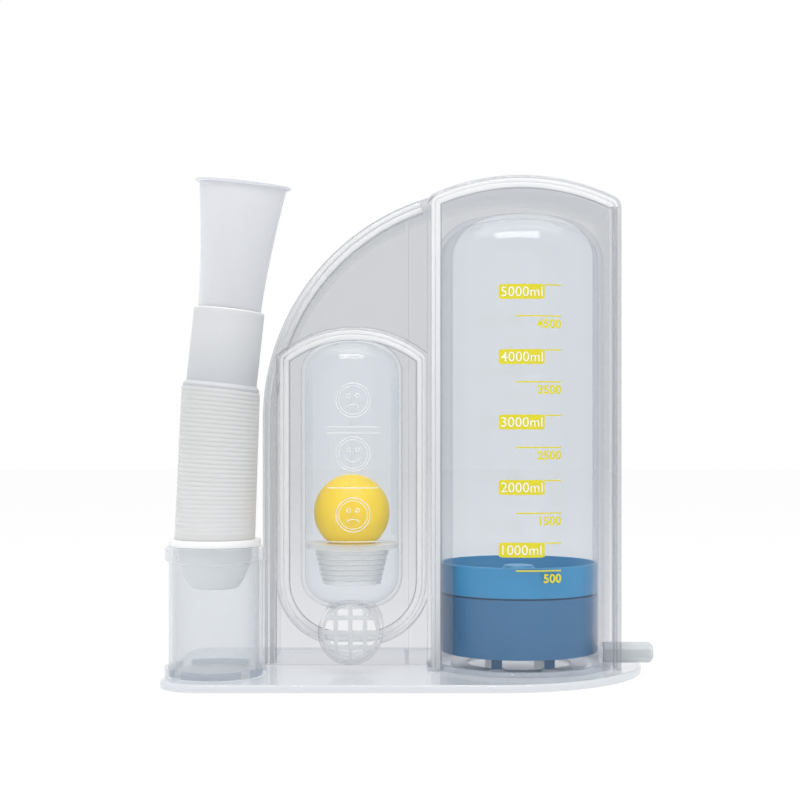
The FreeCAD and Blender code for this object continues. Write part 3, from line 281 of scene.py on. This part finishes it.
def tube_along(name, points, radius, material, body, around=12, closed=False, squeeze=1.0):
    """A round bead along the points, with the squeeze across its depth, closed at its ends."""
    points = [Vector(p) for p in points]
    count = len(points)
    verts, faces = [], []
    for i, point in enumerate(points):
        before = points[i - 1] if i or closed else point
        after = points[(i + 1) % count] if i < count - 1 or closed else point
        along = (after - before).normalized()
        depth = Vector((0, 1, 0))
        if abs(along.dot(depth)) > 0.9:
            depth = Vector((0, 0, 1))
        side = along.cross(depth).normalized()
        depth = side.cross(along).normalized()
        for step in range(around):
            turn = 2 * math.pi * step / around
            verts.append(point + side * math.cos(turn) * radius + depth * math.sin(turn) * radius * squeeze)
    rings = count if closed else count - 1
    for i in range(rings):
        for step in range(around):
            a, b = i * around + step, i * around + (step + 1) % around
            c, d = ((i + 1) % count) * around + (step + 1) % around, ((i + 1) % count) * around + step
            faces.append((a, b, c, d))
    if not closed:
        faces.append(tuple(range(around))[::-1])
        faces.append(tuple((count - 1) * around + step for step in range(around)))
    return new_piece(name, verts, faces, material, body)


def arc_points(centre, radius, start, end, y, steps=48):
    """Points on an arc in a plane that faces the camera, by angles in degrees from +X."""
    found = []
    for i in range(steps + 1):
        turn = math.radians(start + (end - start) * i / steps)
        found.append((centre[0] + radius * math.cos(turn), y, centre[1] + radius * math.sin(turn)))
    return found


def wing_path(inset, y):
    """Up the flange's left side and round the wing, to where the roof begins."""
    left = front_low.x + inset
    side = [(left, y, FOOT_Z), (left, y, 0.06)]
    return side + arc_points(WING_CENTRE, WING_R - inset, 180, WING_END, y)


def corner_arc(x, way, inset, y):
    """The rounding between a side of the main front and the roof, and the roof's angle there."""
    corner_r = max(ROOF_CORNER_R - inset, LEAST_CORNER_R)
    centre_x = x - way * corner_r
    reach = ROOF_R - inset - corner_r
    centre_z = ROOF_CENTRE[1] + math.sqrt(reach**2 - (centre_x - ROOF_CENTRE[0]) ** 2)
    turn = math.degrees(math.atan2(centre_z - ROOF_CENTRE[1], centre_x - ROOF_CENTRE[0]))
    side = 0 if way > 0 else 180
    return arc_points((centre_x, centre_z), corner_r, side, turn, y, steps=8), turn


def main_path(inset, y):
    """Up the left side of the main front and over the roof to its right corner."""
    left_arc, left_turn = corner_arc(MAIN_LEFT + inset, -1, inset, y)
    right_arc, right_turn = corner_arc(front_high.x - inset, 1, inset, y)
    roof = arc_points(ROOF_CENTRE, ROOF_R - inset, left_turn, right_turn, y)
    return [(MAIN_LEFT + inset, y, FOOT_Z)] + left_arc + roof[1:-1] + right_arc[::-1]


def right_side_path(inset, y):
    """Down the right side of the main front."""
    right = front_high.x - inset
    corner, _ = corner_arc(right, 1, inset, y)
    return [corner[0], (right, y, 0.12), (right, y, FOOT_Z)]


def flow_path(inset, y):
    """Round the flow front: its U below, its straight sides and its arch above."""
    side = FLOW_HALF - inset
    bend_r = FLOW_BEND_R - inset
    bend_z = FLOW_LOW + FLOW_BEND_R
    arch_r = ARCH_R - inset
    reach = math.degrees(math.acos(side / arch_r))
    arch = arc_points((FLOW_MIDDLE, ARCH_TOP - ARCH_R), arch_r, reach, 180 - reach, y)
    left = arc_points((FLOW_MIDDLE - FLOW_HALF + FLOW_BEND_R, bend_z), bend_r, 180, 270, y, steps=32)
    right = arc_points((FLOW_MIDDLE + FLOW_HALF - FLOW_BEND_R, bend_z), bend_r, 270, 360, y, steps=32)
    return arch + left + right


BAND_HALF_WIDE = (0.0009, 0.0012)
BAND_SQUEEZE = 0.2
RIM_LINE_R = 0.00026
RIMS = (
    ("wing", wing_path, FLANGE_Y, False, (0.0018, 0.0047), 0.0066),
    ("main", main_path, MAIN_FACE_Y, False, (0.0028, 0.0050), 0.0066),
    ("flow", flow_path, FLOW_FACE_Y, True, (0.0030, 0.0053), 0.0070),
    ("right_side", right_side_path, MAIN_FACE_Y, False, (), 0.0040),
)
# Each rim gets painted highlight bands of white plastic and a painted shade line of grey plastic.
for rim_name, path, face_y, closed, bands, line_at in RIMS:
    for number, inset in enumerate(bands):
        band = tube_along(
            f"{rim_name}_rim_highlight_band_{number}", path(inset, face_y), BAND_HALF_WIDE[number], painted_highlight_white,
            "housing", closed=closed, squeeze=BAND_SQUEEZE)
    line = tube_along(
        f"{rim_name}_rim_shade_line", path(line_at, face_y), RIM_LINE_R, painted_shade_grey, "housing",
        around=8, closed=closed)
# The roof seam bead is a painted highlight: white plastic along the glued seam where it shines.
SEAM_BEAD_R, SEAM_BEAD_INSET, SEAM_ARC = 0.0014, 0.0015, (112, 66)
roof_edge = arc_points(ROOF_CENTRE, ROOF_R - SEAM_BEAD_INSET, *SEAM_ARC, SEAM_Y)
tube_along("roof_seam_painted_highlight", roof_edge, SEAM_BEAD_R, painted_highlight_white, "housing")


# Base plate: a thick moulded slab of the same clear plastic, with the ring that the cup stands in.
# Its polished top reflects the piston faintly blue, and its edge gathers light like window glass.
base_clear = clear_polystyrene(
    "clear_polystyrene_base", "#f2f4f7", "#c6ccd3", haze=0.20, edge=0.30, edge_power=1.8, roughness=0.13,
    mirror=0.95)
finish("base_plate", base_clear)


# Volume cylinder: a long clear tube blown with a domed end and glued into a ring on the base. The
# wall is even and highly polished, so only its two sides and its shoulder show.
tube_clear = clear_polystyrene(
    "clear_polystyrene_tube", "#fbfcfd", "#d3d6da", haze=0.012, edge=0.55, edge_power=6.0, roughness=0.10)
finish("main_cylinder", tube_clear, 40)
finish("cylinder_foot_ring", base_clear)
finish("piston_stop_ring", base_clear)


# Volume scale: olive yellow ink, screen printed on the front of the cylinder. Filled boxes carry
# the thousands in the clear of the print, and plain figures stand under the lines between them.
def grained(name, dark, light):
    """A matt print with a fine grain between two colours."""
    made, tree = new_material(name)
    grain = add(tree, "TexNoise", Scale=900.0, Detail=1.0)
    colour = add(tree, "ValToRGB", Fac=grain.outputs["Fac"])
    colour.color_ramp.elements[0].color = linear(dark)
    colour.color_ramp.elements[1].color = linear(light)
    show(tree, add(tree, "BsdfPrincipled", Base_Color=colour.outputs["Color"], Roughness=0.5).outputs[0])
    return made


ink = grained("yellow_screen_ink", "#c6bb0c", "#d6cc1e")
pale_ink = grained("unprinted_figure", "#dcdcc6", "#e8e8d4")

CYLINDER_X, CYLINDER_Y, CYLINDER_R = 0.05725, 0.0, 0.0422
PRINT_Y = CYLINDER_Y - CYLINDER_R
INK_THICK = 0.00008
FIGURE_LIFT = 0.00022


def on_cylinder(x, z, lift):
    """The point of the cylinder's front straight behind x and z, as the camera sees the print."""
    reach = CYLINDER_R + lift
    return x, CYLINDER_Y - math.sqrt(reach**2 - (x - CYLINDER_X) ** 2), z


def print_patch(name, left, right, low, high, corner=0, columns=14):
    """A rectangle of ink with clipped corners, wrapped on the cylinder."""
    verts, faces = [], []
    for i in range(columns + 1):
        x = left + (right - left) * i / columns
        inset = corner if i in (0, columns) else 0
        verts += [on_cylinder(x, low + inset, INK_THICK), on_cylinder(x, high - inset, INK_THICK)]
    for i in range(columns):
        faces.append((2 * i, 2 * i + 2, 2 * i + 3, 2 * i + 1))
    new_piece(name, verts, faces, ink, "housing", smooth=False)


def figures(name, text, height, material, weight, right=None, middle=None, foot=0.0):
    """Printed figures as a mesh wrapped on the cylinder, aligned right or about the middle."""
    curve = bpy.data.curves.new(name, "FONT")
    curve.body = text
    curve.size = 1
    curve.space_character = 1.04
    curve.offset = weight
    holder = bpy.data.objects.new(name, curve)
    scene.collection.objects.link(holder)
    bpy.context.view_layer.update()
    mesh = bpy.data.meshes.new_from_object(holder)
    bpy.data.objects.remove(holder)
    xs = [v.co.x for v in mesh.vertices]
    ys = [v.co.y for v in mesh.vertices]
    scale = height / (max(ys) - min(ys))
    wide = (max(xs) - min(xs)) * scale
    start = right - wide if right is not None else middle - wide / 2
    for v in mesh.vertices:
        x, z = start + (v.co.x - min(xs)) * scale, foot + (v.co.y - min(ys)) * scale
        v.co = on_cylinder(x, z, FIGURE_LIFT)
    mesh.materials.clear()
    mesh.materials.append(material)
    made = bpy.data.objects.new(name, mesh)
    scene.collection.objects.link(made)
    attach(made, "housing")


BOX_COLUMNS = (499, 545)
LINE_LEFT, LINE_RIGHT = 516, 562
THOUSAND_ROWS = {5000: 283.8, 4000: 349, 3000: 414.5, 2000: 480, 1000: 542.7}
HALF_ROWS = {4500: 315, 3500: 381, 2500: 446.8, 1500: 512.7, 500: 570.4}
BOX_TALL, BOX_CORNER = 15, 0.0005
LINE_TALL = 1.4
BOX_FIGURE_TALL, BOX_FIGURE_FOOT, BOX_FIGURE_WEIGHT = 0.66, 0.17, 0.006
FIGURE_TALL, FIGURE_DROP, FIGURE_WEIGHT = 0.0043, 13, 0.030
for amount, row in THOUSAND_ROWS.items():
    left, right = (photo_x(c, PRINT_Y) for c in BOX_COLUMNS)
    top, low = photo_z(row, PRINT_Y), photo_z(row + BOX_TALL, PRINT_Y)
    print_patch(f"scale_box_{amount}", left, right, low, top, BOX_CORNER)
    print_patch(
        f"scale_line_{amount}", right, photo_x(LINE_RIGHT, PRINT_Y),
        photo_z(row + LINE_TALL, PRINT_Y), top)
    figures(
        f"scale_figure_{amount}", f"{amount}ml", BOX_FIGURE_TALL * (top - low), pale_ink,
        BOX_FIGURE_WEIGHT, middle=(left + right) / 2, foot=low + BOX_FIGURE_FOOT * (top - low))
for amount, row in HALF_ROWS.items():
    top = photo_z(row, PRINT_Y)
    print_patch(
        f"scale_line_{amount}", photo_x(LINE_LEFT, PRINT_Y), photo_x(LINE_RIGHT, PRINT_Y),
        photo_z(row + LINE_TALL, PRINT_Y), top)
    figures(
        f"scale_figure_{amount}", str(amount), FIGURE_TALL, ink, FIGURE_WEIGHT,
        right=photo_x(LINE_RIGHT, PRINT_Y), foot=photo_z(row + FIGURE_DROP, PRINT_Y))


# Ball gauge: a clear domed tube with moulded signs on its front. Each sign is a round outline with
# a plain face, raised a third of a millimetre, and raised bars mark the height the ball should hold.
finish("flow_tube", tube_clear, 40)
# The signs and bars are raised for real, but their beads are whitened plastic: the white is a painted
# highlight.
sign_painted_highlight = clear_polystyrene(
    "clear_polystyrene_sign_highlight", "#f4f5f6", "#fbfbfb", haze=0.40, edge=0.15, edge_power=1.5)
TUBE_X, TUBE_Y, TUBE_R = -0.0257, -0.013, 0.025
SIGN_Y = TUBE_Y - TUBE_R
SIGN_BEAD = 0.00027
SIGN_LIFT = 0.0001


def on_tube(x, z):
    """The point of the gauge tube's front straight behind x and z."""
    reach = TUBE_R + SIGN_LIFT
    return x, TUBE_Y - math.sqrt(reach**2 - (x - TUBE_X) ** 2), z


def raised_line(name, flat, closed=False, radius=SIGN_BEAD):
    """A moulded bead on the gauge tube along flat points, each an x and a z."""
    points = [on_tube(x, z) for x, z in flat]
    bead = tube_along(name, points, radius, sign_painted_highlight, "housing", around=8, closed=closed)


def ring_points(x, z, radius, start=0.0, end=360.0, steps=48):
    """Flat points round a circle, or along an arc of it, by angles in degrees."""
    whole = end - start >= 360
    count = steps if whole else steps + 1
    found = []
    for i in range(count):
        turn = math.radians(start + (end - start) * i / steps)
        found.append((x + radius * math.cos(turn), z + radius * math.sin(turn)))
    return found


SIGN_R, INNER_SIGN_R, INNER_SIGN_BEAD = 0.0081, 0.0068, 0.0002
EYE_R, EYE_OFF = 0.0009, 0.0021
GLAD_RISE, GLAD_R, GLAD_ARC = 0.0004, 0.0042, (208, 332)
SAD_DROP, SAD_R, SAD_ARC = 0.0058, 0.0038, (38, 142)
SIGN_COLUMN = 353
SIGNS = (("upper", 400, "sad"), ("middle", 454, "glad"), ("lower", 515, "sad"))
for place, row, mood in SIGNS:
    x, z = photo_x(SIGN_COLUMN, SIGN_Y), photo_z(row, SIGN_Y)
    raised_line(f"sign_{place}_outline", ring_points(x, z, SIGN_R), True)
    raised_line(f"sign_{place}_inner_outline", ring_points(x, z, INNER_SIGN_R), True, INNER_SIGN_BEAD)
    for side in (-1, 1):
        raised_line(
            f"sign_{place}_eye_{'left' if side < 0 else 'right'}",
            ring_points(x + side * EYE_OFF, z + EYE_OFF, EYE_R, steps=16), True)
    if mood == "glad":
        mouth = ring_points(x, z + GLAD_RISE, GLAD_R, *GLAD_ARC, steps=20)
    else:
        mouth = ring_points(x, z - SAD_DROP, SAD_R, *SAD_ARC, steps=20)
    raised_line(f"sign_{place}_mouth", mouth)

BAR_COLUMNS = (326, 380)
BAR_ROWS = (427, 433, 488, 542)
BAR_STEPS = 24
for number, row in enumerate(BAR_ROWS):
    z = photo_z(row, SIGN_Y)
    left, right = (photo_x(c, SIGN_Y) for c in BAR_COLUMNS)
    flat = [(left + (right - left) * i / BAR_STEPS, z) for i in range(BAR_STEPS + 1)]
    raised_line(f"gauge_bar_{number}", flat)


# Ball seat, grille and air port: natural polypropylene, moulded thin, milky rather than clear. The
# seat's steps get painted highlights, thin rings of white plastic along their edges. The collar round
# the grille is clear like the shell.
def milky_polyolefin(name, colour, straight, edge, mottle_scale):
    """Milky plastic: straight is how much it hides seen straight, edge what a turned face adds."""
    made, tree = new_material(name)
    mottle = add(tree, "TexNoise", Scale=mottle_scale, Detail=3.0)
    skin = add(tree, "Bump", Strength=0.15, Distance=0.0002, Height=mottle.outputs["Fac"])
    body = add(tree, "BsdfPrincipled", Base_Color=linear(colour), Roughness=0.42, Subsurface_Weight=0.3,
               Subsurface_Radius=(1, 1, 1), Subsurface_Scale=0.004, Normal=skin.outputs[0])
    gap = add(tree, "BsdfTransparent", Color=linear("#f9fafb"))
    facing = add(tree, "LayerWeight", Blend=0.5).outputs["Facing"]
    hide = add(tree, "Math", {"operation": "MULTIPLY_ADD"}, input0=facing, input1=edge, input2=straight)
    mix = add(tree, "MixShader", Fac=hide.outputs[0], input1=gap.outputs[0], input2=body.outputs[0])
    show(tree, mix.outputs[0])
    return made


finish("ball_seat", clear_polystyrene(
    "natural_polypropylene_seat", "#fdfdfd", "#ffffff", haze=0.34, edge=0.55, edge_power=1.3,
    roughness=0.3))
seat_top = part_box("ball_seat")[1].z
SEAT_STEPS, SEAT_STEP, SEAT_TAPER = 7, 0.0025, 0.0006
SEAT_R, SEAT_PLATE = 0.018, 0.0024
STEP_HIGHLIGHT_R, STEP_HIGHLIGHT_DROP = 0.0003, 0.0004
# Painted highlights: a thin ring of white plastic along each step edge of the seat.
for number in range(SEAT_STEPS):
    step_z = seat_top - SEAT_PLATE - number * SEAT_STEP - STEP_HIGHLIGHT_DROP
    step_r = SEAT_R - number * SEAT_TAPER
    ring = [(x, y, step_z) for x, y in ring_points(TUBE_X, TUBE_Y, step_r, steps=72)]
    edge = tube_along(
        f"seat_step_highlight_{number}", ring, STEP_HIGHLIGHT_R, painted_highlight_white, "housing", around=8, closed=True)
finish("inlet_grille", milky_polyolefin(
    "natural_polypropylene_grille", "#d9dbdd", straight=0.72, edge=0.20, mottle_scale=120.0))
finish("air_port", milky_polyolefin(
    "natural_polypropylene_port", "#cccfd1", straight=0.50, edge=0.35, mottle_scale=120.0))
finish("inlet_collar", shell_clear)


# Float ball: a hollow ball of dyed polypropylene, even yellow with a satin skin. The dye shows a
# little through the thin wall, which keeps its shaded side warm.
yellow, tree = new_material("yellow_polypropylene")
speck = add(tree, "TexNoise", Scale=260.0, Detail=2.0)
yellow_colour = add(tree, "ValToRGB", Fac=speck.outputs["Fac"])
yellow_colour.color_ramp.elements[0].color = linear("#ffd322")
yellow_colour.color_ramp.elements[1].color = linear("#ffdb34")
yellow_bump = add(tree, "Bump", Strength=0.08, Distance=0.0002, Height=speck.outputs["Fac"])
show(tree, add(tree, "BsdfPrincipled", Base_Color=yellow_colour.outputs["Color"], Roughness=0.38,
               Subsurface_Weight=0.25, Subsurface_Radius=(1, 1, 1), Subsurface_Scale=0.006,
               Normal=yellow_bump.outputs[0]).outputs[0])
finish("float_ball", yellow, 180)


# Piston: three moulded pieces of dyed polyethylene, a skirt with lugs, a soft seal and a dished cap.
# Skirt and cap are one blue plastic. The cap's brighter, more cyan blue is painted light from above
# shining through it, and the seal's darker blue is painted shade in the groove between them. Skirt and
# cap carry a fine satin moulding texture.
def dyed_polyethylene(name, dark, light, roughness, scatter):
    """Satin plastic, clouded between two shades. scatter is how much light goes into it."""
    made, tree = new_material(name)
    clouds = add(tree, "TexNoise", Scale=70.0, Detail=4.0)
    colour = add(tree, "ValToRGB", Fac=clouds.outputs["Fac"])
    colour.color_ramp.elements[0].color = linear(dark)
    colour.color_ramp.elements[1].color = linear(light)
    spark = add(tree, "TexNoise", Scale=2200.0, Detail=1.0)
    skin = add(tree, "Bump", Strength=0.1, Distance=0.0001, Height=spark.outputs["Fac"])
    body = add(tree, "BsdfPrincipled", Base_Color=colour.outputs["Color"], Roughness=roughness,
               Subsurface_Weight=scatter, Subsurface_Radius=(1, 1, 1), Subsurface_Scale=0.003,
               Normal=skin.outputs[0])
    show(tree, body.outputs[0])
    return made


finish("piston_body", dyed_polyethylene(
    "blue_polyethylene_skirt", "#28648f", "#33729d", roughness=0.40, scatter=0.1))
# The seal's darker blue is painted shade of the groove between skirt and cap.
finish("piston_seal", dyed_polyethylene(
    "dark_blue_seal_painted_shade", "#274f74", "#2c5880", roughness=0.55, scatter=0.0))
# The cap's brighter, more cyan blue is painted light from above shining through it.
finish("piston_cap", dyed_polyethylene(
    "blue_polyethylene_cap_painted_light", "#1b82b2", "#258fc0", roughness=0.34, scatter=0.2))


# Hose cup: a clear cup with a thick banded rim that stands in a ring on the base. The wall is the
# same crystal polystyrene; the rim is doubled and reads as a pale band.
finish("hose_cup", clear_polystyrene(
    "clear_polystyrene_cup", "#f9fafb", "#dcdee1", haze=0.13, edge=0.55, edge_power=2.4))


# Hose ends: plain white low density polyethylene cuffs, at each end of the bellows. They are satin
# white and thin; their grey, which changes with height, is painted shade for the spigot's dark inside
# and the tube in the sleeve showing through.
def white_polyethylene(name, low_colour, high_colour, low, high):
    """Satin white plastic painted grey, from one tone to another between two heights: painted shade."""
    made, tree = new_material(name)
    faint = add(tree, "TexNoise", Scale=300.0, Detail=3.0)
    skin = add(tree, "Bump", Strength=0.1, Distance=0.0002, Height=faint.outputs["Fac"])
    height = add(tree, "SeparateXYZ", Vector=add(tree, "TexCoord").outputs["Object"]).outputs["Z"]
    share = add(tree, "MapRange", Value=height, From_Min=low, From_Max=high)
    colour = add(tree, "ValToRGB", Fac=share.outputs[0])
    colour.color_ramp.elements[0].color = linear(low_colour)
    colour.color_ramp.elements[1].color = linear(high_colour)
    show(tree, add(tree, "BsdfPrincipled", Base_Color=colour.outputs["Color"], Roughness=0.45,
                   Subsurface_Weight=0.35, Subsurface_Radius=(1, 1, 1), Subsurface_Scale=0.006,
                   Normal=skin.outputs[0]).outputs[0])
    return made


# Painted shade: each cuff's grey changes with height.
finish("hose_tail_cuff", white_polyethylene(
    "white_polyethylene_tail", "#f4f4f3", "#e0e0e0", low=0.052, high=0.070))
finish("hose_top_cuff", white_polyethylene(
    "white_polyethylene_cuff", "#b9bbbf", "#c9cacc", low=0.144, high=0.168))


# Bellows: a white polyethylene hose pushed together until its ribs lie on each other. The ribs are
# two millimetres apart and shallow, and they fade out towards the foot, where the hose is pressed.
hose_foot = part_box("corrugated_hose")[0].z
tail_low, tail_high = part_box("hose_tail_cuff")
HOSE_X, HOSE_Y = (tail_low.x + tail_high.x) / 2, (tail_low.y + tail_high.y) / 2
HOSE_TOP = 0.1396
BELLOWS_LEAN, MOUTH_LEAN = math.radians(2.3), math.radians(6.2)
HOSE_TOP_X = HOSE_X + (HOSE_TOP - hose_foot) * math.tan(BELLOWS_LEAN)
HOSE_R_LOW, HOSE_R_HIGH = 0.0192, 0.0188
RIB_COUNT = 34
RIB_DEEP = 0.00027
FOOT_DEPTH, DEPTH_RISE = 0.25, 2.2
RIB_BLUNT = 0.7
HOSE_WALL = 0.0016
RIB_ROWS = 8
HOSE_AROUND = 96


def bellows_ring(radius, share):
    """A ring of the bellows: level at its foot, and at its top at a right angle to the mouthpiece."""
    lean = MOUTH_LEAN * share
    middle_x = HOSE_X + (HOSE_TOP_X - HOSE_X) * share
    middle_z = hose_foot + (HOSE_TOP - hose_foot) * share
    found = []
    for step in range(HOSE_AROUND):
        turn = 2 * math.pi * step / HOSE_AROUND
        across = radius * math.cos(turn)
        x, z = middle_x + across * math.cos(lean), middle_z - across * math.sin(lean)
        found.append((x, HOSE_Y + radius * math.sin(turn), z))
    return found


verts, faces = [], []
rows = RIB_COUNT * RIB_ROWS
for row in range(rows + 1):
    share = row / rows
    depth = RIB_DEEP * min(1, FOOT_DEPTH + DEPTH_RISE * share)
    wave = abs(math.sin(math.pi * share * RIB_COUNT)) ** RIB_BLUNT
    verts += bellows_ring(HOSE_R_LOW + (HOSE_R_HIGH - HOSE_R_LOW) * share - depth * (1 - wave), share)
verts += bellows_ring(HOSE_R_HIGH - RIB_DEEP - HOSE_WALL, 1)
verts += bellows_ring(HOSE_R_LOW - RIB_DEEP - HOSE_WALL, 0)
loops = rows + 3
for row in range(loops):
    below, above = row * HOSE_AROUND, ((row + 1) % loops) * HOSE_AROUND
    for step in range(HOSE_AROUND):
        after = (step + 1) % HOSE_AROUND
        faces.append((below + step, below + after, above + after, above + step))
bellows_mesh = bpy.data.meshes.new("hose_bellows")
bellows_mesh.from_pydata(verts, [], faces)
# The white bellows is painted grey, a little darker towards its top: painted shade.
bellows_mesh.materials.append(white_polyethylene(
    "white_polyethylene_bellows", "#cdcdcd", "#c5c5c5", low=0.070, high=0.130))
bellows_mesh.shade_smooth()
bellows = bpy.data.objects.new("hose_bellows", bellows_mesh)
scene.collection.objects.link(bellows)
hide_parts("corrugated_hose")
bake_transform(bellows)


# Mouthpiece: a blown tube of natural polyethylene, round at the cuff and pressed to a flat oval,
# with a rolled lip. It is thin and milky, so what is behind it shows faintly.
finish("mouthpiece", milky_polyolefin(
    "natural_polyethylene", "#dddee2", straight=0.64, edge=0.33, mottle_scale=90.0), 45)
